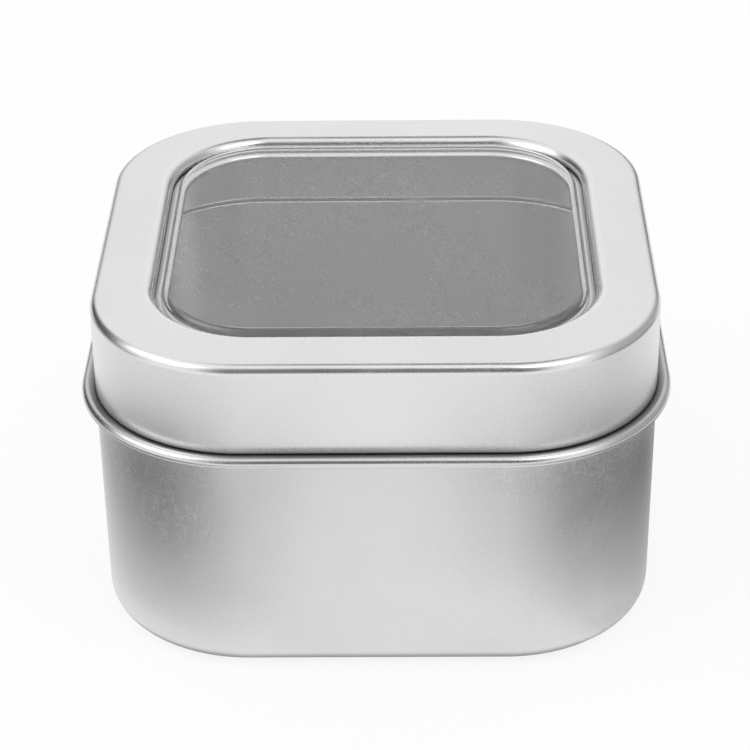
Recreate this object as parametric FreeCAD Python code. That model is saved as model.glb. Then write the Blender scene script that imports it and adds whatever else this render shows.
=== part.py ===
# Square tinplate box with wide rounded corners and a slip lid that holds a clear window.
# Millimetres. The origin is at the middle of the face that the box stands on, with +Z up.
import FreeCAD, Part
import math
import os

# Tinplate of the box, the cover and the retainer
sheet = 0.25

# Box: width across the walls just under the flange, and the corners seen from above
body_width = 76.0
corner_radius = 20.6
wall_draft_degrees = 0.45
foot_radius = 3.3

# Floor: a ring that it stands on, and a panel raised inside it by a soft step
standing_ring_width = 3.0
panel_rise = 0.6
panel_step_width = 1.6

# Flange: a round fold of the wall, whose upper leaf dips inwards to a groove round the neck
shoulder_height = 34.2
flange_reach = 1.85
flange_thickness = 1.6
flange_dip_degrees = 20
fold_radius = 0.125

# Neck above the flange, and its curled rim, which carries the lid
neck_inset = 0.6
neck_clearance = 0.35
curl_radius = 0.6
curl_turn_degrees = 270

# Cover: how far its foot hangs into the groove, and its height from there to the crest round the window
foot_drop = 0.1
cover_height = 13.1
edge_radius = 1.2
crown = 0.33
top_border = 8.5
window_corner_radius = 13.75
lip_radius = 1.5

# Window pane: clear formed sheet, with its raised middle just under the crest
pane_sheet = 0.3
pane_drop = 0.15
shoulder_gap = 0.45
shoulder_width = 1.5
pane_flange_width = 4.0

# Retainer: frame pressed into the cover, with its inner edge a little inside the window
retainer_radius = 0.5
retainer_leg = 1.4
retainer_show = 1.8
retainer_hem = 0.9

# Sizes that follow from those above
body_half = body_width / 2
neck_half = body_half - neck_inset
cover_inner_half = neck_half + neck_clearance
cover_half = cover_inner_half + sheet
window_half = cover_half - top_border
corner_centre = body_half - corner_radius
window_centre = window_half - window_corner_radius
cover_foot = shoulder_height - foot_drop
crest_height = cover_foot + cover_height
lip_end_height = crest_height - lip_radius
pane_top = crest_height - pane_drop
pane_flange_top = lip_end_height
retainer_top = pane_flange_top - pane_sheet
rim_top = retainer_top - sheet


class Strip:
    # A strip of sheet seen in section, drawn along its middle by straight runs and bends.
    # Its reach is measured from the Z axis to a wall, and its centre is how far out along X and Y
    # the axis of each rounded corner lies.
    def __init__(self, thickness, reach, height, heading, centre):
        self.thickness = thickness
        self.place = (reach, height)
        self.heading = heading
        self.centre = centre
        self.pieces = []

    def run(self, length, new_centre=None):
        begin = (self.place, self.heading)
        angle = math.radians(self.heading)
        self.place = (begin[0][0] + length * math.cos(angle), begin[0][1] + length * math.sin(angle))
        end_centre = self.centre if new_centre is None else new_centre
        self.pieces.append((begin, None, (self.place, self.heading), self.centre, end_centre))
        self.centre = end_centre

    # A positive turn bends to the left of the heading
    def bend(self, radius, degrees):
        begin = (self.place, self.heading)
        toward = math.radians(self.heading + math.copysign(90, degrees))
        pivot = (self.place[0] + radius * math.cos(toward), self.place[1] + radius * math.sin(toward))
        stops = []
        for turned in (degrees / 2, degrees):
            away = toward + math.pi + math.radians(turned)
            place = (pivot[0] + radius * math.cos(away), pivot[1] + radius * math.sin(away))
            stops.append((place, begin[1] + turned))
        self.place, self.heading = stops[1]
        self.pieces.append((begin, stops[0], stops[1], self.centre, self.centre))

    # One face of the sheet, half its thickness to the left or right of the middle
    def side(self, hand):
        faces = []
        for begin, middle, end, first_centre, last_centre in self.pieces:
            points = [beside(stop, hand * self.thickness / 2) for stop in (begin, middle, end)]
            faces.append((points, first_centre, last_centre))
        return faces

    # The cut edge of the sheet at the start or the end of the strip
    def cut_edge(self, stop, centre):
        left = beside(stop, self.thickness / 2)
        right = beside(stop, -self.thickness / 2)
        return [left, None, right], centre, centre

    def start_edge(self):
        return self.cut_edge(self.pieces[0][0], self.pieces[0][3])

    def end_edge(self):
        return self.cut_edge(self.pieces[-1][2], self.pieces[-1][4])


def beside(stop, distance):
    if stop is None:
        return None
    (reach, height), heading = stop
    angle = math.radians(heading + 90)
    return (reach + distance * math.cos(angle), height + distance * math.sin(angle))


def section_edge(points, along):
    corners = [FreeCAD.Vector(point[0], along, point[1]) for point in points if point is not None]
    if len(corners) == 2:
        return Part.LineSegment(*corners).toShape()
    return Part.Arc(*corners).toShape()


def corner_arc(point, centre):
    pivot = FreeCAD.Vector(centre, centre, point[1])
    return Part.makeCircle(point[0] - centre, pivot, FreeCAD.Vector(0, 0, 1), 0, 90)


def rounded_square(point, centre):
    reach, height = point
    wall_ends = [FreeCAD.Vector(reach, along, height) for along in (-centre, centre)]
    wall = Part.LineSegment(*wall_ends).toShape()
    return Part.Wire(all_round([wall, corner_arc(point, centre)]))


def all_round(shapes):
    turned = []
    for quarter in range(4):
        for shape in shapes:
            copy = shape.copy()
            copy.rotate(FreeCAD.Vector(0, 0, 0), FreeCAD.Vector(0, 0, 1), 90 * quarter)
            turned.append(copy)
    return turned


# Faces that one line or arc of a section makes on its way round the tin
def swept_faces(points, first_centre, last_centre):
    if first_centre == last_centre:
        side = section_edge(points, -first_centre).extrude(FreeCAD.Vector(0, 2 * first_centre, 0))
        pivot = FreeCAD.Vector(first_centre, first_centre, 0)
        corner = section_edge(points, first_centre).revolve(pivot, FreeCAD.Vector(0, 0, 1), 90)
        return all_round([side, corner])
    begin, end = points[0], points[2]
    if math.isclose(begin[1], end[1]):
        rings = [rounded_square(begin, first_centre), rounded_square(end, last_centre)]
        return Part.makeFace(rings, "Part::FaceMakerBullseye").Faces
    outline = [
        FreeCAD.Vector(begin[0], -first_centre, begin[1]),
        FreeCAD.Vector(begin[0], first_centre, begin[1]),
        FreeCAD.Vector(end[0], last_centre, end[1]),
        FreeCAD.Vector(end[0], -last_centre, end[1]),
    ]
    side = Part.Face(Part.makePolygon(outline + outline[:1]))
    corner = Part.makeRuledSurface(corner_arc(begin, first_centre), corner_arc(end, last_centre))
    return all_round([side, corner])


# A strip taken round the tin. One that starts at a flat middle has two plates there and no cut edge.
def sheet_solid(strip, flat_middle=False):
    outline = strip.side(1) + strip.side(-1) + [strip.end_edge()]
    faces = []
    if flat_middle:
        first = strip.pieces[0]
        for hand in (1, -1):
            edge = beside(first[0], hand * strip.thickness / 2)
            faces.append(Part.Face(rounded_square(edge, first[3])))
    else:
        outline.append(strip.start_edge())
    for points, first_centre, last_centre in outline:
        faces.extend(swept_faces(points, first_centre, last_centre))
    shell = Part.makeCompound(faces)
    shell.sewShape()
    solid = Part.Solid(shell.Shells[0]).removeSplitter()
    if solid.Volume < 0:
        solid.reverse()
    return solid


# A soft step of two equal bends, from the heading it starts on and back to it
def soft_step(strip, width, drop):
    turn = 2 * math.degrees(math.atan2(drop, width))
    radius = width / 2 / math.sin(math.radians(turn))
    strip.bend(radius, -turn)
    strip.bend(radius, turn)


# Skirt, outer edge, top and rolled inner edge of a frame, whose top lies on both bends
def frame_strip(outer_half, inner_half, foot, top, rise, outer_bend, inner_bend):
    strip = Strip(sheet, outer_half - sheet / 2, foot, 90, corner_centre)
    outer_pivot_height = top - rise - outer_bend
    inner_pivot_height = top - inner_bend
    across = outer_half - outer_bend - inner_half - inner_bend
    up = inner_pivot_height - outer_pivot_height
    span = math.hypot(across, up)
    growth = inner_bend - outer_bend
    slope = math.degrees(math.atan2(up, across) + math.asin(growth / span))
    strip.run(outer_pivot_height - foot)
    strip.bend(outer_bend - sheet / 2, 90 - slope)
    strip.run(math.sqrt(span ** 2 - growth ** 2), window_centre)
    strip.bend(inner_bend - sheet / 2, 90 + slope)
    return strip


def make_tin_body():
    draft = math.radians(wall_draft_degrees)
    dip = math.radians(flange_dip_degrees)
    flange_underside = shoulder_height - flange_thickness
    bend_radius = fold_radius + sheet / 2
    nose_radius = (flange_thickness - sheet) / 2
    lower_pivot_height = flange_underside + sheet / 2 - bend_radius

    def wall_face(height):
        return body_half - (flange_underside - height) * math.tan(draft)

    foot_pivot = wall_face(foot_radius) - foot_radius / math.cos(draft)
    foot_end = foot_radius - (foot_radius - sheet / 2) * math.sin(draft)
    fold_start = lower_pivot_height + bend_radius * math.sin(draft)
    fold_pivot = wall_face(lower_pivot_height) + (bend_radius - sheet / 2) / math.cos(draft)
    nose_pivot = body_half + flange_reach - flange_thickness / 2
    nose_pivot_height = shoulder_height - flange_thickness / 2
    neck_middle = neck_half - sheet / 2
    groove_pivot = neck_middle + bend_radius
    leaf_length = (nose_pivot - groove_pivot - (nose_radius + bend_radius) * math.sin(dip)) / math.cos(dip)
    leaf_fall = leaf_length * math.sin(dip)
    neck_start = nose_pivot_height + (nose_radius + bend_radius) * math.cos(dip) - leaf_fall

    panel_half = foot_pivot - standing_ring_width - panel_step_width
    strip = Strip(sheet, panel_half, panel_rise + sheet / 2, 0, corner_centre)
    soft_step(strip, panel_step_width, panel_rise)
    strip.run(standing_ring_width)
    strip.bend(foot_radius - sheet / 2, 90 - wall_draft_degrees)
    strip.run((fold_start - foot_end) / math.cos(draft))
    strip.bend(bend_radius, wall_draft_degrees - 90)
    strip.run(nose_pivot - fold_pivot)
    strip.bend(nose_radius, 180 + flange_dip_degrees)
    strip.run(leaf_length)
    strip.bend(bend_radius, -90 - flange_dip_degrees)
    strip.run(rim_top - curl_radius - neck_start)
    strip.bend(curl_radius - sheet / 2, curl_turn_degrees)
    return sheet_solid(strip, flat_middle=True)


def make_lid_cover():
    strip = frame_strip(
        outer_half=cover_half,
        inner_half=window_half,
        foot=cover_foot,
        top=crest_height,
        rise=crown,
        outer_bend=edge_radius,
        inner_bend=lip_radius,
    )
    return sheet_solid(strip)


def make_window_pane():
    middle_half = window_half - shoulder_gap - shoulder_width
    strip = Strip(pane_sheet, middle_half, pane_top - pane_sheet / 2, 0, window_centre)
    soft_step(strip, shoulder_width, pane_top - pane_flange_top)
    strip.run(shoulder_gap + pane_flange_width)
    return sheet_solid(strip, flat_middle=True)


def make_window_retainer():
    strip = frame_strip(
        outer_half=cover_inner_half,
        inner_half=window_half - retainer_show,
        foot=retainer_top - retainer_leg,
        top=retainer_top,
        rise=0,
        outer_bend=retainer_radius,
        inner_bend=retainer_radius,
    )
    strip.run(retainer_hem - retainer_radius)
    return sheet_solid(strip)


nodes = {
    "tin_body": make_tin_body,
    "lid_cover": make_lid_cover,
    "window_pane": make_window_pane,
    "window_retainer": make_window_retainer,
}

os.makedirs("parts", exist_ok=True)
for name, make in nodes.items():
    solid = make()
    solid.exportStep(f"parts/{name}.step")
    box = solid.optimalBoundingBox()
    sizes = [round(length, 3) for length in (box.XLength, box.YLength, box.ZLength)]
    print(name, "valid", solid.isValid(), "volume", round(solid.Volume, 2), "sizes", sizes)
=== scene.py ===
# Window lid tin: satin tinplate box, slip lid and clear window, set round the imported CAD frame
import math
import bpy
from mathutils import Matrix, Vector


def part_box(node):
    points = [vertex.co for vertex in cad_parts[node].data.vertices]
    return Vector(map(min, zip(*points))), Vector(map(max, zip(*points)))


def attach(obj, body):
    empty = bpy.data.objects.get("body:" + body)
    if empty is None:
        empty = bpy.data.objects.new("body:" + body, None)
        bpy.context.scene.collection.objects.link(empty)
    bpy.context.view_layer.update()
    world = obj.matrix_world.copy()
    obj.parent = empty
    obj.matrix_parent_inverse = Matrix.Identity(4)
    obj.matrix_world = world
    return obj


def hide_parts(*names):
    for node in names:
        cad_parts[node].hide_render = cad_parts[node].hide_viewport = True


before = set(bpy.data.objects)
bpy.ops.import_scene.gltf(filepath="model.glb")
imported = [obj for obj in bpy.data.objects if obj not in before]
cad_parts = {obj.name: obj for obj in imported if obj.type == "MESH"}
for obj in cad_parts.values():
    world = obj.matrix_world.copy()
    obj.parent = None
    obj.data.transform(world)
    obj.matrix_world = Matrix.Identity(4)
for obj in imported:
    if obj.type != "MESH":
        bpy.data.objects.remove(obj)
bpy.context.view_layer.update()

mm = 0.001
scene = bpy.context.scene
scene.view_settings.view_transform = "Standard"

# What all the tinplate shares: sheet thickness and the box's corners seen from above
tinplate = {
    "sheet": 0.25 * mm,
    "bodyHalf": 38.0 * mm,
    "cornerRadius": 20.6 * mm,
}
cornerAxis = tinplate["bodyHalf"] - tinplate["cornerRadius"]
print("frame loaded:", ", ".join(sorted(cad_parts)))


# Node helpers

def addNode(tree, kind, **settings):
    node = tree.nodes.new(kind)
    for name, value in settings.items():
        setattr(node, name, value)
    return node


def plug(tree, source, target):
    # a plain number or colour goes on the socket itself
    if isinstance(source, bpy.types.NodeSocket):
        tree.links.new(source, target)
    else:
        target.default_value = source


def calc(tree, operation, *values):
    node = addNode(tree, "ShaderNodeMath", operation=operation)
    for value, socket in zip(values, node.inputs):
        plug(tree, value, socket)
    return node.outputs[0]


def spread(tree, value, fromRange, toRange):
    ranged = addNode(tree, "ShaderNodeMapRange")
    plug(tree, value, ranged.inputs["Value"])
    for key, number in zip(("From Min", "From Max", "To Min", "To Max"), (*fromRange, *toRange)):
        ranged.inputs[key].default_value = number
    return ranged.outputs[0]


def noise(tree, where, scale, detail, distortion=0.0):
    texture = addNode(tree, "ShaderNodeTexNoise")
    plug(tree, where, texture.inputs["Vector"])
    texture.inputs["Scale"].default_value = scale
    texture.inputs["Detail"].default_value = detail
    texture.inputs["Distortion"].default_value = distortion
    return texture.outputs["Fac"]


def meshValue(tree, name):
    return addNode(tree, "ShaderNodeAttribute", attribute_name=name).outputs["Fac"]


# Sheet seen in section, drawn along its middle by straight runs and bends.
# Reach goes from the Z axis to a wall, axis is how far out the turning line of each corner lies.
class SheetLine:
    supportShare = 0.12  # rows beside each end of a run keep the shading flat
    supportMost = 0.12 * mm
    runStep = 3.2 * mm
    bendStep = 7.5
    leastBendSteps = 6
    endWear = 0.4
    softWear = 0.2
    middleShares = (0.0, 0.12, 0.3, 0.5, 0.7, 0.86, 0.97)

    def __init__(self, thickness, reach, height, heading, axis):
        self.thickness = thickness
        self.place = Vector((reach, height))
        self.heading = heading
        self.axis = axis
        self.stops = [(self.place.copy(), heading, axis, 0.0)]

    def run(self, length, newAxis=None, stepMost=runStep):
        begin = self.place.copy()
        way = Vector((math.cos(math.radians(self.heading)), math.sin(math.radians(self.heading))))
        firstAxis = self.axis
        lastAxis = firstAxis if newAxis is None else newAxis
        support = min(self.supportShare, self.supportMost / length)
        steps = max(1, math.ceil(length / stepMost))
        shares = [support + (1 - 2 * support) * step / steps for step in range(steps + 1)]
        for share in shares + [1.0]:
            wear = 0.0 if share < 1 else self.endWear
            axis = firstAxis + (lastAxis - firstAxis) * share
            self.stops.append((begin + way * length * share, self.heading, axis, wear))
        self.place = begin + way * length
        self.axis = lastAxis

    # a positive turn bends to the left
    def bend(self, radius, degrees, wear=1.0):
        toward = math.radians(self.heading + math.copysign(90, degrees))
        pivot = self.place + radius * Vector((math.cos(toward), math.sin(toward)))
        steps = max(self.leastBendSteps, math.ceil(abs(degrees) / self.bendStep))
        for step in range(1, steps + 1):
            turned = degrees * step / steps
            away = toward + math.pi + math.radians(turned)
            place = pivot + radius * Vector((math.cos(away), math.sin(away)))
            worn = wear * math.sin(math.pi * step / steps) ** 0.5 if step < steps else 0.0
            self.stops.append((place, self.heading + turned, self.axis, worn))
        self.place = self.stops[-1][0].copy()
        self.heading += degrees

    def softStep(self, width, drop):
        turn = 2 * math.degrees(math.atan2(drop, width))
        radius = width / 2 / math.sin(math.radians(turn))
        self.bend(radius, -turn, wear=self.softWear)
        self.bend(radius, turn, wear=self.softWear)

    def side(self, hand):
        rows = []
        for place, heading, axis, wear in self.stops:
            angle = math.radians(heading + 90)
            across = hand * self.thickness / 2
            rows.append((place.x + across * math.cos(angle), place.y + across * math.sin(angle), axis, wear))
        return rows

    # rows of the whole section, clockwise, so that the faces point outwards
    def outline(self, flatMiddle=False):
        inner = self.side(1)
        outer = self.side(-1)[::-1]
        if not flatMiddle:
            return inner + outer + inner[:1]

        def middle(edge):
            reach, height, axis, wear = edge
            return [(reach * share, height, axis * share, 0.0) for share in self.middleShares]

        return middle(inner[0]) + inner + outer + middle(outer[-1])[::-1]


# Geometry Nodes: carries a section round the tin's rounded square
roundTin = {
    "steps": {"Corner Steps": 32, "Side Steps": 12},
    "kept": ("foldWear", "paintedCreviceShade"),
    "seamDistance": 0.002 * mm,
}


def makeRoundTree():
    tree = bpy.data.node_groups.new("sheetRoundTin", "GeometryNodeTree")
    face = tree.interface
    face.new_socket("Section", in_out="INPUT", socket_type="NodeSocketGeometry")
    for name, value in roundTin["steps"].items():
        socket = face.new_socket(name, in_out="INPUT", socket_type="NodeSocketInt")
        socket.default_value = value
    face.new_socket("Sharp Angle", in_out="INPUT", socket_type="NodeSocketFloat")
    face.new_socket("Finish", in_out="INPUT", socket_type="NodeSocketMaterial")
    face.new_socket("Sheet", in_out="OUTPUT", socket_type="NodeSocketGeometry")
    given = addNode(tree, "NodeGroupInput").outputs
    section, cornerSteps, sideSteps = given["Section"], given["Corner Steps"], given["Side Steps"]

    # a flat grid with a row for each point of the section and a column for each step round the tin
    size = addNode(tree, "GeometryNodeAttributeDomainSize", component="MESH")
    plug(tree, section, size.inputs["Geometry"])
    quarterSteps = calc(tree, "ADD", cornerSteps, sideSteps)
    columns = calc(tree, "MULTIPLY_ADD", quarterSteps, 4.0, 1.0)
    grid = addNode(tree, "GeometryNodeMeshGrid")
    plug(tree, size.outputs["Point Count"], grid.inputs["Vertices X"])
    plug(tree, columns, grid.inputs["Vertices Y"])
    index = addNode(tree, "GeometryNodeInputIndex").outputs[0]
    row = calc(tree, "FLOOR", calc(tree, "DIVIDE", calc(tree, "ADD", index, 0.5), columns))
    column = calc(tree, "SUBTRACT", index, calc(tree, "MULTIPLY", row, columns))

    def fromSection(dataType, value):
        sample = addNode(tree, "GeometryNodeSampleIndex", data_type=dataType, domain="POINT")
        plug(tree, section, sample.inputs["Geometry"])
        plug(tree, value, sample.inputs["Value"])
        plug(tree, row, sample.inputs["Index"])
        return sample.outputs["Value"]

    def ownValue(name):
        value = addNode(tree, "GeometryNodeInputNamedAttribute", data_type="FLOAT")
        value.inputs["Name"].default_value = name
        return value.outputs["Attribute"]

    position = addNode(tree, "GeometryNodeInputPosition").outputs[0]
    place = addNode(tree, "ShaderNodeSeparateXYZ")
    plug(tree, fromSection("FLOAT_VECTOR", position), place.inputs[0])
    reach, height = place.outputs["X"], place.outputs["Z"]
    axis = fromSection("FLOAT", ownValue("cornerAxis"))
    kept = {name: fromSection("FLOAT", ownValue(name)) for name in roundTin["kept"]}

    # each quarter is a corner arc and then a straight wall
    quarter = calc(tree, "FLOOR", calc(tree, "DIVIDE", calc(tree, "ADD", column, 0.5), quarterSteps))
    step = calc(tree, "SUBTRACT", column, calc(tree, "MULTIPLY", quarter, quarterSteps))
    arcShare = calc(tree, "MINIMUM", calc(tree, "DIVIDE", step, cornerSteps), 1.0)
    pastArc = calc(tree, "MAXIMUM", calc(tree, "SUBTRACT", step, cornerSteps), 0.0)
    wallShare = calc(tree, "DIVIDE", pastArc, sideSteps)
    angle = calc(tree, "MULTIPLY", arcShare, math.pi / 2)
    radius = calc(tree, "SUBTRACT", reach, axis)
    along = calc(tree, "MULTIPLY", axis, calc(tree, "MULTIPLY_ADD", wallShare, -2.0, 1.0))
    joined = addNode(tree, "ShaderNodeCombineXYZ")
    plug(tree, calc(tree, "MULTIPLY_ADD", radius, calc(tree, "COSINE", angle), along), joined.inputs["X"])
    plug(tree, calc(tree, "MULTIPLY_ADD", radius, calc(tree, "SINE", angle), axis), joined.inputs["Y"])
    plug(tree, height, joined.inputs["Z"])
    turned = addNode(tree, "ShaderNodeVectorRotate", rotation_type="Z_AXIS")
    plug(tree, joined.outputs[0], turned.inputs["Vector"])
    plug(tree, calc(tree, "MULTIPLY", quarter, math.pi / 2), turned.inputs["Angle"])

    made = grid.outputs["Mesh"]
    for name, value in kept.items():
        store = addNode(tree, "GeometryNodeStoreNamedAttribute", data_type="FLOAT", domain="POINT")
        store.inputs["Name"].default_value = name
        plug(tree, made, store.inputs["Geometry"])
        plug(tree, value, store.inputs["Value"])
        made = store.outputs["Geometry"]
    moved = addNode(tree, "GeometryNodeSetPosition")
    plug(tree, made, moved.inputs["Geometry"])
    plug(tree, turned.outputs[0], moved.inputs["Position"])
    merged = addNode(tree, "GeometryNodeMergeByDistance")
    plug(tree, moved.outputs[0], merged.inputs["Geometry"])
    plug(tree, roundTin["seamDistance"], merged.inputs["Distance"])

    smooth = addNode(tree, "GeometryNodeSetShadeSmooth", domain="FACE")
    plug(tree, merged.outputs[0], smooth.inputs["Geometry"])
    bendAngle = addNode(tree, "GeometryNodeInputMeshEdgeAngle").outputs["Unsigned Angle"]
    crease = addNode(tree, "GeometryNodeSetShadeSmooth", domain="EDGE")
    plug(tree, smooth.outputs[0], crease.inputs["Geometry"])
    plug(tree, calc(tree, "GREATER_THAN", bendAngle, given["Sharp Angle"]), crease.inputs["Selection"])
    plug(tree, False, crease.inputs["Shade Smooth"])
    real = addNode(tree, "GeometryNodeRealizeInstances")
    plug(tree, crease.outputs[0], real.inputs["Geometry"])
    finish = addNode(tree, "GeometryNodeSetMaterial")
    plug(tree, real.outputs[0], finish.inputs["Geometry"])
    plug(tree, given["Finish"], finish.inputs["Material"])
    plug(tree, finish.outputs[0], addNode(tree, "NodeGroupOutput").inputs["Sheet"])
    return tree


roundTree = makeRoundTree()


def noCreviceShade(reach, height):
    return 0.0


# 0 at the start of the ramp and 1 at its end
def fade(value, rampStart, rampEnd):
    return min(max((value - rampStart) / (rampEnd - rampStart), 0.0), 1.0)


def makeRoundSheet(name, rows, finish, settings, body, node, creviceShade=noCreviceShade):
    mesh = bpy.data.meshes.new(name)
    mesh.from_pydata([(reach, 0, height) for reach, height, axis, wear in rows], [], [])
    carried = {
        "cornerAxis": [axis for reach, height, axis, wear in rows],
        "foldWear": [wear for reach, height, axis, wear in rows],
        "paintedCreviceShade": [creviceShade(reach, height) for reach, height, axis, wear in rows],
    }
    for key, values in carried.items():
        mesh.attributes.new(key, "FLOAT", "POINT").data.foreach_set("value", values)
    piece = bpy.data.objects.new(name, mesh)
    scene.collection.objects.link(piece)

    modifier = piece.modifiers.new("roundTin", "NODES")
    modifier.node_group = roundTree
    items = roundTree.interface.items_tree
    sockets = {item.name: item.identifier for item in items if item.in_out == "INPUT"}
    modifier[sockets["Corner Steps"]] = settings["cornerSteps"]
    modifier[sockets["Side Steps"]] = settings["sideSteps"]
    modifier[sockets["Sharp Angle"]] = math.radians(settings["sharpDegrees"])
    modifier[sockets["Finish"]] = finish
    depsgraph = bpy.context.evaluated_depsgraph_get()
    plain = bpy.data.meshes.new_from_object(
        piece.evaluated_get(depsgraph), preserve_all_data_layers=True, depsgraph=depsgraph
    )
    piece.modifiers.remove(modifier)
    piece.data = plain
    plain.name = name
    bpy.data.meshes.remove(mesh)

    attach(piece, body)
    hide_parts(node)
    triangles = sum(len(face.vertices) - 2 for face in plain.polygons)
    print(name, "made:", len(rows), "section rows,", triangles, "triangles")


# Satin tinplate: rolled grain, handling smudges, sparse short scratches, folds rubbed brighter, and painted
# shade darkening the crevices
def makeTinplate(name, look):
    material = bpy.data.materials.new(name)
    material.use_nodes = True
    tree = material.node_tree
    shader = tree.nodes["Principled BSDF"]
    shader.inputs["Metallic"].default_value = 1.0
    where = addNode(tree, "ShaderNodeTexCoord").outputs["Object"]
    whole = (0.0, 1.0)

    smudge = noise(tree, where, look["smudgeScale"], look["smudgeDetail"], look["smudgeDistortion"])
    grain = noise(tree, where, look["grainScale"], look["grainDetail"])
    uneven = noise(tree, where, look["unevenScale"], look["unevenDetail"])
    patches = noise(tree, where, look["patchScale"], look["patchDetail"])
    patches = spread(tree, patches, look["patchRange"], whole)

    # the peaks of a stretched and turned noise are one set of short marks
    def scratches(low, marks):
        peaks = []
        for stretch, turn in marks:
            mapping = addNode(tree, "ShaderNodeMapping")
            mapping.inputs["Rotation"].default_value = turn
            mapping.inputs["Scale"].default_value = stretch
            plug(tree, where, mapping.inputs["Vector"])
            drawn = noise(tree, mapping.outputs[0], 1.0, 0.0)
            peaks.append(spread(tree, drawn, (low, low + look["scratchSoftness"]), whole))
        return calc(tree, "MAXIMUM", *peaks)

    facing = addNode(tree, "ShaderNodeSeparateXYZ")
    plug(tree, addNode(tree, "ShaderNodeNewGeometry").outputs["Normal"], facing.inputs[0])
    level = calc(tree, "GREATER_THAN", calc(tree, "ABSOLUTE", facing.outputs["Z"]), look["levelFacing"])
    scratch = addNode(tree, "ShaderNodeMix")
    plug(tree, level, scratch.inputs["Factor"])
    plug(tree, scratches(look["wallScratchLow"], look["wallScratches"]), scratch.inputs["A"])
    plug(tree, scratches(look["levelScratchLow"], look["levelScratches"]), scratch.inputs["B"])
    scratch = calc(tree, "MULTIPLY", scratch.outputs["Result"], patches)
    wear = meshValue(tree, "foldWear")
    creviceShade = meshValue(tree, "paintedCreviceShade")

    rough = spread(tree, smudge, look["noiseSpan"], look["rough"])
    rough = calc(tree, "ADD", rough, spread(tree, grain, look["noiseSpan"], look["grainRough"]))
    rough = calc(tree, "SUBTRACT", rough, calc(tree, "MULTIPLY", wear, look["foldPolish"]))
    rough = calc(tree, "MULTIPLY_ADD", scratch, look["scratchRough"], rough)
    plug(tree, calc(tree, "MULTIPLY_ADD", creviceShade, look["paintedShadeRough"], rough), shader.inputs["Roughness"])

    tone = addNode(tree, "ShaderNodeMix", data_type="RGBA")
    tone.inputs["A"].default_value = (*look["darkTone"], 1)
    tone.inputs["B"].default_value = (*look["lightTone"], 1)
    shade = spread(tree, smudge, look["noiseSpan"], look["smudgeShade"])
    shade = calc(tree, "MULTIPLY_ADD", scratch, look["scratchShade"], shade)
    plug(tree, calc(tree, "MULTIPLY_ADD", wear, look["foldShade"], shade), tone.inputs["Factor"])
    # painted shade: crevices and hidden strips are mixed toward a dark tone, standing in for the shade there
    creviceShaded = addNode(tree, "ShaderNodeMix", data_type="RGBA")
    plug(tree, creviceShade, creviceShaded.inputs["Factor"])
    plug(tree, tone.outputs["Result"], creviceShaded.inputs["A"])
    creviceShaded.inputs["B"].default_value = (*look["paintedShadeTone"], 1)
    plug(tree, creviceShaded.outputs["Result"], shader.inputs["Base Color"])

    relief = calc(tree, "MULTIPLY", grain, look["grainDepth"])
    relief = calc(tree, "MULTIPLY_ADD", scratch, -look["scratchDepth"], relief)
    relief = calc(tree, "MULTIPLY_ADD", uneven, look["unevenDepth"], relief)
    bump = addNode(tree, "ShaderNodeBump")
    bump.inputs["Distance"].default_value = 1.0
    plug(tree, relief, bump.inputs["Height"])
    plug(tree, bump.outputs[0], shader.inputs["Normal"])
    return material


satin = {
    "darkTone": (0.67, 0.67, 0.672),
    "lightTone": (0.74, 0.74, 0.74),
    # the dark tone that the painted crevice shade mixes to
    "paintedShadeTone": (0.03, 0.03, 0.032),
    "smudgeShade": (0.2, 0.8),
    "scratchShade": 0.4,
    "foldShade": 0.2,
    "rough": (0.26, 0.31),
    "grainRough": (-0.02, 0.02),
    "scratchRough": 0.1,
    "paintedShadeRough": 0.3,
    "foldPolish": 0.04,
    "noiseSpan": (0.3, 0.7),
    "smudgeScale": 70,
    "smudgeDetail": 4.0,
    "smudgeDistortion": 0.6,
    "grainScale": 2600,
    "grainDetail": 2.0,
    "unevenScale": 55,
    "unevenDetail": 1.0,
    "patchScale": 60,
    "patchDetail": 2.0,
    "patchRange": (0.46, 0.62),
    # stretch and turn of two sets of scratches on upright faces, and of two on level ones
    "wallScratches": (((7000, 7000, 500), (0, 0.12, 0)), ((900, 900, 7000), (0.05, 0, 0))),
    "levelScratches": (((500, 7000, 3000), (0, 0, 0.35)), ((7000, 500, 3000), (0, 0, 0.1))),
    "wallScratchLow": 0.66,
    "levelScratchLow": 0.73,
    "scratchSoftness": 0.05,
    "levelFacing": 0.6,
    "scratchDepth": 0.0008 * mm,
    "grainDepth": 0.0005 * mm,
    "unevenDepth": 0.06 * mm,
}
brightSatin = dict(satin, lightTone=(0.81, 0.81, 0.81), darkTone=(0.745, 0.745, 0.75))
# the box's painted groove shade is a lighter grey
boxTinplate = makeTinplate("tinplateBox", dict(satin, paintedShadeTone=(0.27, 0.27, 0.272)))
coverTinplate = makeTinplate("tinplateCover", brightSatin)
retainerTinplate = makeTinplate("tinplateRetainer", dict(satin, rough=(0.22, 0.28)))


# Clear formed sheet with faint rub marks
def makeClearSheet(name, look):
    material = bpy.data.materials.new(name)
    material.use_nodes = True
    tree = material.node_tree
    shader = tree.nodes["Principled BSDF"]
    shader.inputs["Base Color"].default_value = (*look["tint"], 1)
    shader.inputs["Transmission Weight"].default_value = 1.0
    shader.inputs["IOR"].default_value = look["ior"]
    where = addNode(tree, "ShaderNodeTexCoord").outputs["Object"]
    rubs = noise(tree, where, look["rubScale"], look["rubDetail"])
    plug(tree, spread(tree, rubs, look["rubRange"], look["rough"]), shader.inputs["Roughness"])
    ripple = noise(tree, where, look["rippleScale"], look["rippleDetail"])
    bump = addNode(tree, "ShaderNodeBump")
    bump.inputs["Distance"].default_value = 1.0
    plug(tree, calc(tree, "MULTIPLY", ripple, look["rippleDepth"]), bump.inputs["Height"])
    plug(tree, bump.outputs[0], shader.inputs["Normal"])
    return material


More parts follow.
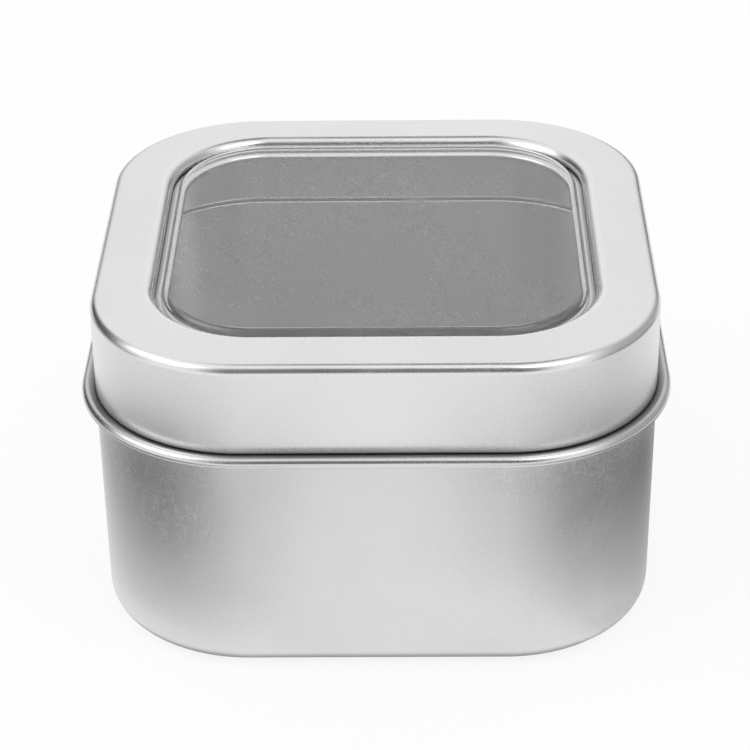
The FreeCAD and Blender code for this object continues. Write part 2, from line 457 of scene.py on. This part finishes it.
clearSheet = makeClearSheet("clearFormedSheet", {
    "tint": (0.98, 0.98, 0.98),
    "ior": 1.5,
    "rough": (0.01, 0.06),
    "rubScale": 160,
    "rubDetail": 5.0,
    "rubRange": (0.45, 0.75),
    "rippleScale": 40,
    "rippleDetail": 1.0,
    "rippleDepth": 0.02 * mm,
})
print("finishes made")

# Rows lie close along the foot and the top of a frame, where the finish and the corners change
frameRows = {
    "footBand": 1.2 * mm,
    "footStep": 0.15 * mm,
    "topStep": 0.5 * mm,
}


# Skirt, outer edge, top and rolled inner edge of a frame, whose top lies on both bends
def frameLine(outerHalf, innerHalf, innerAxis, foot, top, rise, outerBend, innerBend):
    half = tinplate["sheet"] / 2
    line = SheetLine(tinplate["sheet"], outerHalf - half, foot, 90, cornerAxis)
    outerPivot = top - rise - outerBend
    across = outerHalf - outerBend - innerHalf - innerBend
    up = top - innerBend - outerPivot
    span = math.hypot(across, up)
    growth = innerBend - outerBend
    slope = math.degrees(math.atan2(up, across) + math.asin(growth / span))
    skirt = outerPivot - foot
    footBand = min(frameRows["footBand"], skirt / 2)
    line.run(footBand, stepMost=frameRows["footStep"])
    line.run(skirt - footBand)
    line.bend(outerBend - half, 90 - slope)
    line.run(math.sqrt(span ** 2 - growth ** 2), innerAxis, stepMost=frameRows["topStep"])
    line.bend(innerBend - half, 90 + slope)
    return line


# Box: drawn tinplate with a round folded flange, a groove, a set-in neck and a curled rim
box = {
    "draftDegrees": 0.45,
    "footRadius": 3.3 * mm,
    "footWear": 0.4,
    "standingRingWidth": 3.0 * mm,
    "panelRise": 0.6 * mm,
    "panelStepWidth": 1.6 * mm,
    "flangeThickness": 1.6 * mm,
    "flangeDip": 20,
    "foldRadius": 0.125 * mm,
    "neckInset": 0.6 * mm,
    "footDrop": 0.1 * mm,
    "curlRadius": 0.6 * mm,
    "curlTurn": 270,
    "leafStep": 0.15 * mm,
    "neckStep": 1.0 * mm,
    "cornerSteps": 36,
    "sideSteps": 12,
    "sharpDegrees": 40,
}

# Painted shade in the groove behind the flange: where it starts, and the unshaded and fully shaded distances
# from the neck
grooveShade = {
    "behindNeck": 0.1 * mm,
    "belowNeck": 0.4 * mm,
    "up": (4.0 * mm, 1.0 * mm),
    "out": (2.3 * mm, 0.7 * mm),
    "curve": 1.2,
}


def makeBox():
    lowest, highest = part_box("tin_body")
    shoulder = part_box("lid_cover")[0].z + box["footDrop"]
    sheet = tinplate["sheet"]
    draft = math.radians(box["draftDegrees"])
    dip = math.radians(box["flangeDip"])
    foldBend = box["foldRadius"] + sheet / 2
    noseBend = (box["flangeThickness"] - sheet) / 2
    underside = shoulder - box["flangeThickness"]
    lowerPivot = underside + sheet / 2 - foldBend

    def wallFace(height):
        return tinplate["bodyHalf"] - (underside - height) * math.tan(draft)

    footRadius = box["footRadius"]
    footPivot = wallFace(footRadius) - footRadius / math.cos(draft)
    footEnd = footRadius - (footRadius - sheet / 2) * math.sin(draft)
    foldStart = lowerPivot + foldBend * math.sin(draft)
    foldPivot = wallFace(lowerPivot) + (foldBend - sheet / 2) / math.cos(draft)
    nosePivot = highest.x - box["flangeThickness"] / 2
    neckMiddle = tinplate["bodyHalf"] - box["neckInset"] - sheet / 2
    bothBends = noseBend + foldBend
    leaf = (nosePivot - neckMiddle - foldBend - bothBends * math.sin(dip)) / math.cos(dip)
    neckStart = shoulder - box["flangeThickness"] / 2 + bothBends * math.cos(dip) - leaf * math.sin(dip)
    panelHalf = footPivot - box["standingRingWidth"] - box["panelStepWidth"]

    line = SheetLine(sheet, panelHalf, lowest.z + box["panelRise"] + sheet / 2, 0, cornerAxis)
    line.softStep(box["panelStepWidth"], box["panelRise"])
    line.run(box["standingRingWidth"])
    line.bend(footRadius - sheet / 2, 90 - box["draftDegrees"], wear=box["footWear"])
    line.run((foldStart - footEnd) / math.cos(draft))
    line.bend(foldBend, box["draftDegrees"] - 90)
    line.run(nosePivot - foldPivot)
    line.bend(noseBend, 180 + box["flangeDip"])
    line.run(leaf, stepMost=box["leafStep"])
    line.bend(foldBend, -90 - box["flangeDip"])
    line.run(highest.z - box["curlRadius"] - neckStart, stepMost=box["neckStep"])
    line.bend(box["curlRadius"] - sheet / 2, box["curlTurn"])
    rows = line.outline(flatMiddle=True)
    neckFace = neckMiddle + sheet / 2

    # painted shade: darkest in the groove at the neck, fading up the neck and out over the flange
    def groove(reach, height):
        out, up = reach - neckFace, height - neckStart
        if out < -grooveShade["behindNeck"] or up < -grooveShade["belowNeck"]:
            return 0.0
        return fade(up, *grooveShade["up"]) * fade(out, *grooveShade["out"]) ** grooveShade["curve"]

    makeRoundSheet("tinBoxSheet", rows, boxTinplate, box, "tin", "tin_body", groove)


makeBox()

# Cover: straight skirt, small outer edge, crowned top, rolled edge round the window
cover = {
    "edgeRadius": 1.2 * mm,
    "crown": 0.33 * mm,
    "topBorder": 8.5 * mm,
    "windowCornerRadius": 13.75 * mm,
    "lipRadius": 1.5 * mm,
    "cornerSteps": 40,
    "sideSteps": 14,
    "sharpDegrees": 40,
}
coverLow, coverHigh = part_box("lid_cover")
windowHalf = coverHigh.x - cover["topBorder"]
windowAxis = windowHalf - cover["windowCornerRadius"]

# Painted shade: darker at the foot, where it stands in the groove over the flange, and down in the rolled
# edge beside the window
coverShade = {
    "footShadeMost": 0.35,
    "footShadeUp": (0.5 * mm, 0.12 * mm),
    "cutEdgeUp": (0.12 * mm, 0.0),
    "lipDown": (0.75 * cover["lipRadius"], 0.95 * cover["lipRadius"]),
}


def makeCover():
    line = frameLine(
        outerHalf=coverHigh.x,
        innerHalf=windowHalf,
        innerAxis=windowAxis,
        foot=coverLow.z,
        top=coverHigh.z,
        rise=cover["crown"],
        outerBend=cover["edgeRadius"],
        innerBend=cover["lipRadius"],
    )
    rows = line.outline()

    # painted shade at the skirt's foot and inside the rolled lip
    def footAndLipShade(reach, height):
        up, down = height - coverLow.z, coverHigh.z - height
        if reach > windowHalf + cover["lipRadius"]:
            footShade = coverShade["footShadeMost"] * fade(up, *coverShade["footShadeUp"])
            return max(footShade, fade(up, *coverShade["cutEdgeUp"]))
        return fade(down, *coverShade["lipDown"])

    makeRoundSheet(
        "lidCoverSheet", rows, coverTinplate, cover, "lid", "lid_cover", footAndLipShade
    )


makeCover()

# Window: clear sheet with a raised flat middle, a soft shoulder and a flange under the cover
window = {
    "paneSheet": 0.3 * mm,
    "shoulderGap": 0.45 * mm,
    "shoulderWidth": 1.5 * mm,
    "cornerSteps": 40,
    "sideSteps": 12,
    "sharpDegrees": 40,
}


def makeWindow():
    low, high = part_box("window_pane")
    sheet = window["paneSheet"]
    middleHalf = windowHalf - window["shoulderGap"] - window["shoulderWidth"]
    line = SheetLine(sheet, middleHalf, high.z - sheet / 2, 0, windowAxis)
    line.softStep(window["shoulderWidth"], high.z - low.z - sheet)
    line.run(high.x - middleHalf - window["shoulderWidth"])
    rows = line.outline(flatMiddle=True)
    makeRoundSheet("windowSheet", rows, clearSheet, window, "lid", "window_pane")


makeWindow()

# Retainer: frame pressed into the cover, hemmed round its inner edge, darkened with painted shade where the
# cover hides it
retainer = {
    "bendRadius": 0.5 * mm,
    "show": 1.8 * mm,
    "hem": 0.9 * mm,
    "shadedInside": (0.5 * mm, 0.1 * mm),
    "cornerSteps": 36,
    "sideSteps": 12,
    "sharpDegrees": 40,
}


def makeRetainer():
    low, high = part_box("window_retainer")
    line = frameLine(
        outerHalf=high.x,
        innerHalf=windowHalf - retainer["show"],
        innerAxis=windowAxis,
        foot=low.z,
        top=high.z,
        rise=0,
        outerBend=retainer["bendRadius"],
        innerBend=retainer["bendRadius"],
    )
    line.run(retainer["hem"] - retainer["bendRadius"])
    rows = line.outline()

    # painted shade on the strip under the cover's rolled lip
    def shadeUnderCover(reach, height):
        return fade(windowHalf - reach, *retainer["shadedInside"])

    makeRoundSheet(
        "retainerSheet", rows, retainerTinplate, retainer, "lid", "window_retainer",
        shadeUnderCover
    )


makeRetainer()

# Camera: long lens, a little above the tin and turned slightly off square
view = {
    "focalPixels": 2603,
    "imagePixels": 750,
    "sensorWidth": 36.0,
    "nearest": 0.01,
    "distance": 373.0 * mm,
    "elevation": 30.0,
    "turn": 0.95,
    "roll": -0.77,
    "aimHeight": 23.8 * mm,
    "aimAcross": -0.43 * mm,
}


def makeCamera():
    rise = math.radians(view["elevation"])
    data = bpy.data.cameras.new("photoCamera")
    data.sensor_width = view["sensorWidth"]
    data.lens = view["sensorWidth"] * view["focalPixels"] / view["imagePixels"]
    data.clip_start = view["nearest"]
    camera = bpy.data.objects.new("photoCamera", data)
    scene.collection.objects.link(camera)
    away = Vector((0, -math.cos(rise), math.sin(rise)))
    aim = Vector((view["aimAcross"], 0, view["aimHeight"]))
    tilt = Matrix.Rotation(math.pi / 2 - rise, 4, "X")
    roll = Matrix.Rotation(math.radians(view["roll"]), 4, "Z")
    turn = Matrix.Rotation(math.radians(view["turn"]), 4, "Z")
    camera.matrix_world = turn @ Matrix.Translation(aim + away * view["distance"]) @ tilt @ roll
    scene.camera = camera


makeCamera()
print("camera placed")

# Pale floor, white surroundings, soft lamps, and glowing grey cards seen only in the metal: painted
# reflections that give it its dark edges
studio = {
    "floorTone": (0.93, 0.93, 0.93),
    "floorRoughness": 0.9,
    "floorSize": 6.0,
    "floorDrop": 0.02 * mm,
    "floorWhite": 0.84,
    "fillStrength": 0.85,
    "lampTarget": (0, 0, 0.03),
    "skyRadius": 1.4,
    "cardColumns": 48,
    "cardRows": 24,
    "cardLift": 0.2 * mm,
    "farCardLift": 0.3 * mm,
    "slantLow": 10.0 * mm,
    "slantPerDegree": 0.25 * mm,
    "slantHigh": 41.0 * mm,
}


# what the camera, metal and glass see of the paper and the room
def seenDirectly(tree):
    path = addNode(tree, "ShaderNodeLightPath").outputs
    seen = calc(tree, "MAXIMUM", path["Is Glossy Ray"], path["Is Transmission Ray"])
    return calc(tree, "MAXIMUM", path["Is Camera Ray"], seen)


def makeFloor():
    half = studio["floorSize"] / 2
    drop = -studio["floorDrop"]
    corners = [(-half, -half, drop), (half, -half, drop), (half, half, drop), (-half, half, drop)]
    mesh = bpy.data.meshes.new("paleFloor")
    mesh.from_pydata(corners, [], [(0, 1, 2, 3)])
    floor = bpy.data.objects.new("paleFloor", mesh)
    scene.collection.objects.link(floor)
    material = bpy.data.materials.new("paleFloorPaper")
    material.use_nodes = True
    tree = material.node_tree
    shader = tree.nodes["Principled BSDF"]
    shader.inputs["Base Color"].default_value = (*studio["floorTone"], 1)
    shader.inputs["Roughness"].default_value = studio["floorRoughness"]
    shader.inputs["Specular IOR Level"].default_value = 0.0
    # most of what is seen is plain white paper, and the rest keeps the shadow
    white = addNode(tree, "ShaderNodeEmission")
    mix = addNode(tree, "ShaderNodeMixShader")
    plug(tree, calc(tree, "MULTIPLY", seenDirectly(tree), studio["floorWhite"]), mix.inputs[0])
    plug(tree, shader.outputs[0], mix.inputs[1])
    plug(tree, white.outputs[0], mix.inputs[2])
    plug(tree, mix.outputs[0], tree.nodes["Material Output"].inputs["Surface"])
    mesh.materials.append(material)


def makeWorld():
    world = bpy.data.worlds.new("softRoom")
    scene.world = world
    world.use_nodes = True
    tree = world.node_tree
    tree.nodes.clear()
    fill = addNode(tree, "ShaderNodeBackground")
    fill.inputs["Strength"].default_value = studio["fillStrength"]
    white = addNode(tree, "ShaderNodeBackground")
    for node in (fill, white):
        node.inputs["Color"].default_value = (1, 1, 1, 1)
    mix = addNode(tree, "ShaderNodeMixShader")
    plug(tree, seenDirectly(tree), mix.inputs[0])
    plug(tree, fill.outputs[0], mix.inputs[1])
    plug(tree, white.outputs[0], mix.inputs[2])
    plug(tree, mix.outputs[0], addNode(tree, "ShaderNodeOutputWorld").inputs["Surface"])


def addLamp(name, place, width, height, power):
    data = bpy.data.lights.new(name, "AREA")
    data.shape = "RECTANGLE"
    data.size = width
    data.size_y = height
    data.energy = power
    lamp = bpy.data.objects.new(name, data)
    scene.collection.objects.link(lamp)
    lamp.location = place
    beam = Vector(studio["lampTarget"]) - Vector(place)
    lamp.rotation_euler = beam.to_track_quat("-Z", "Y").to_euler()


# the cards glow at their tone and fade to clear, so the metal mirrors painted dark reflections
def makeCardFinish():
    material = bpy.data.materials.new("paintedReflectionCard")
    material.use_nodes = True
    tree = material.node_tree
    tree.nodes.clear()
    glow = addNode(tree, "ShaderNodeEmission")
    plug(tree, meshValue(tree, "cardTone"), glow.inputs["Strength"])
    mix = addNode(tree, "ShaderNodeMixShader")
    plug(tree, meshValue(tree, "cardShade"), mix.inputs[0])
    plug(tree, addNode(tree, "ShaderNodeBsdfTransparent").outputs[0], mix.inputs[1])
    plug(tree, glow.outputs[0], mix.inputs[2])
    plug(tree, mix.outputs[0], addNode(tree, "ShaderNodeOutputMaterial").inputs["Surface"])
    return material


# A glowing grey card with soft edges that only the metal sees, a painted reflection: place(around, across)
# gives its points, and each soft pair is the share of it that fades out at either end, quicker where the
# curve is under 1
def addCard(name, place, around, across, softAround, softAcross, tone, curve=1.0):
    columns, rows = studio["cardColumns"], studio["cardRows"]
    points, shades = [], []
    for row in range(rows + 1):
        for column in range(columns + 1):
            aroundShare, acrossShare = column / columns, row / rows
            points.append(place(
                around[0] + (around[1] - around[0]) * aroundShare,
                across[0] + (across[1] - across[0]) * acrossShare,
            ))
            shade = min(fade(aroundShare, 0, softAround[0]), fade(1 - aroundShare, 0, softAround[1]))
            shade *= min(fade(acrossShare, 0, softAcross[0]), fade(1 - acrossShare, 0, softAcross[1]))
            shades.append(shade ** curve)
    faces = []
    for row in range(rows):
        for column in range(columns):
            first = row * (columns + 1) + column
            faces.append((first, first + 1, first + columns + 2, first + columns + 1))
    mesh = bpy.data.meshes.new(name)
    mesh.from_pydata(points, [], faces)
    mesh.attributes.new("cardShade", "FLOAT", "POINT").data.foreach_set("value", shades)
    mesh.attributes.new("cardTone", "FLOAT", "POINT").data.foreach_set("value", [tone] * len(points))
    mesh.materials.append(cardFinish)
    card = bpy.data.objects.new(name, mesh)
    scene.collection.objects.link(card)
    card.visible_camera = False
    card.visible_diffuse = False
    card.visible_transmission = False
    card.visible_shadow = False


# on a wide globe, azimuth 0 at the front and growing to the right
def skyPlace(azimuth, elevation):
    rise, turn = math.radians(elevation), math.radians(azimuth)
    flat = studio["skyRadius"] * math.cos(rise)
    return (flat * math.sin(turn), -flat * math.cos(turn), studio["skyRadius"] * math.sin(rise))


# further out on the paper, where only the rounded edges mirror it
def farPaperPlace(azimuth, distance):
    turn = math.radians(azimuth)
    return (distance * math.sin(turn), -distance * math.cos(turn), studio["farCardLift"])


# in the sky, where a rounded edge mirrors it to the camera: degrees round the corner and up the bend
def edgePlace(wayRound, bendUp):
    turn, rise, tilt = math.radians(wayRound), math.radians(bendUp), math.radians(view["elevation"])
    normal = Vector((math.sin(turn) * math.cos(rise), -math.cos(turn) * math.cos(rise), math.sin(rise)))
    toCamera = Vector((0, -math.cos(tilt), math.sin(tilt)))
    return (2 * normal.dot(toCamera) * normal - toCamera) * studio["skyRadius"]


# on the paper, where the wall mirrors it to the camera at this height. The way round is in degrees
# of the right front corner, and below 0 in mm along the front wall
def rightPaperPlace(wayRound, height):
    turn = math.radians(max(wayRound, 0.0))
    across = cornerAxis + min(wayRound, 0.0) * mm + tinplate["cornerRadius"] * math.sin(turn)
    forward = cornerAxis + tinplate["cornerRadius"] * math.cos(turn)
    out = height / math.tan(math.radians(view["elevation"]))
    return (across + out * math.sin(2 * turn), -forward - out * math.cos(2 * turn), studio["cardLift"])


def leftPaperPlace(wayRound, height):
    across, forward, up = rightPaperPlace(wayRound, height)
    return (-across, forward, up)


# the right card starts lower on the wall the further round it goes
def slantPaperPlace(wayRound, share):
    lowest = studio["slantLow"] - studio["slantPerDegree"] * wayRound
    return rightPaperPlace(wayRound, lowest + (studio["slantHigh"] - lowest) * share)


# under the foot, all the way round
def underFootPlace(wayRound, reach):
    quarter, turn = divmod(wayRound, 90)
    turn = math.radians(turn)
    radius = reach - cornerAxis
    corner = Vector((radius * math.cos(turn), radius * math.sin(turn), studio["cardLift"]))
    return Matrix.Rotation(quarter * math.pi / 2, 3, "Z") @ (corner + Vector((cornerAxis, cornerAxis, 0)))


makeFloor()
makeWorld()
addLamp("leftLamp", place=(-0.49, -0.18, 0.54), width=0.55, height=0.4, power=1.0)
addLamp("rightLamp", place=(0.265, -0.295, 0.64), width=0.4, height=0.3, power=0.58)
cardFinish = makeCardFinish()

# in the sky, for the lid's top and its edge along the front and the back corners
addCard("frontCard", skyPlace, around=(-36, 36), across=(0, 74),
        softAround=(0.25, 0.25), softAcross=(0.1, 0.35), tone=0.17)
addCard("backCard", skyPlace, around=(130, 202), across=(52, 87),
        softAround=(0.3, 0.16), softAcross=(0.2, 0.12), tone=0.18)
addCard("backLeftCard", skyPlace, around=(-172, -141), across=(-6, 24),
        softAround=(0.2, 0.1), softAcross=(0.1, 0.5), tone=0.35)
addCard("backRightCard", skyPlace, around=(139, 172), across=(-6, 24),
        softAround=(0.1, 0.15), softAcross=(0.1, 0.5), tone=0.12)

# in the sky, for the lid's edge and the flange round the front corners
addCard("leftEdgeCard", edgePlace, around=(-86, -46), across=(10, 70),
        softAround=(0.1, 0.25), softAcross=(0.25, 0.3), tone=0.08)
addCard("leftLowCard", edgePlace, around=(-62, -34), across=(4, 28),
        softAround=(0.2, 0.7), softAcross=(0.3, 0.4), tone=0.3)
addCard("rightEdgeCard", edgePlace, around=(30, 88), across=(6, 76),
        softAround=(0.2, 0.1), softAcross=(0.2, 0.3), tone=0.46)
addCard("rightLowCard", edgePlace, around=(34, 64), across=(2, 38),
        softAround=(0.25, 0.4), softAcross=(0.2, 0.4), tone=0.12)

# on the paper, for the walls round the front corners, the low side of the bends and the foot
addCard("leftPaperCard", leftPaperPlace, around=(-7, 82), across=(3 * mm, 38 * mm),
        softAround=(0.43, 0.41), softAcross=(0.7, 0.15), tone=0.1, curve=0.65)
addCard("rightPaperCard", slantPaperPlace, around=(-12, 100), across=(0.0, 1.0),
        softAround=(0.33, 0.3), softAcross=(0.63, 0.25), tone=0.18, curve=0.75)
addCard("leftFarCard", farPaperPlace, around=(-135, -66), across=(0.1, 1.4),
        softAround=(0.2, 0.25), softAcross=(0.12, 0.05), tone=0.35)
addCard("rightFarCard", farPaperPlace, around=(48, 135), across=(0.1, 1.4),
        softAround=(0.25, 0.2), softAcross=(0.12, 0.05), tone=0.25)
# painted shadow: a dark card under the foot stands in for the shade beneath the tin, seen only in the foot's
# reflection
addCard("underFootShadowCard", underFootPlace, around=(0, 360), across=(33 * mm, 38.3 * mm),
        softAround=(0.001, 0.001), softAcross=(0.001, 0.28), tone=0.4)
print("floor, surroundings, lamps and cards placed")

bpy.context.view_layer.update()
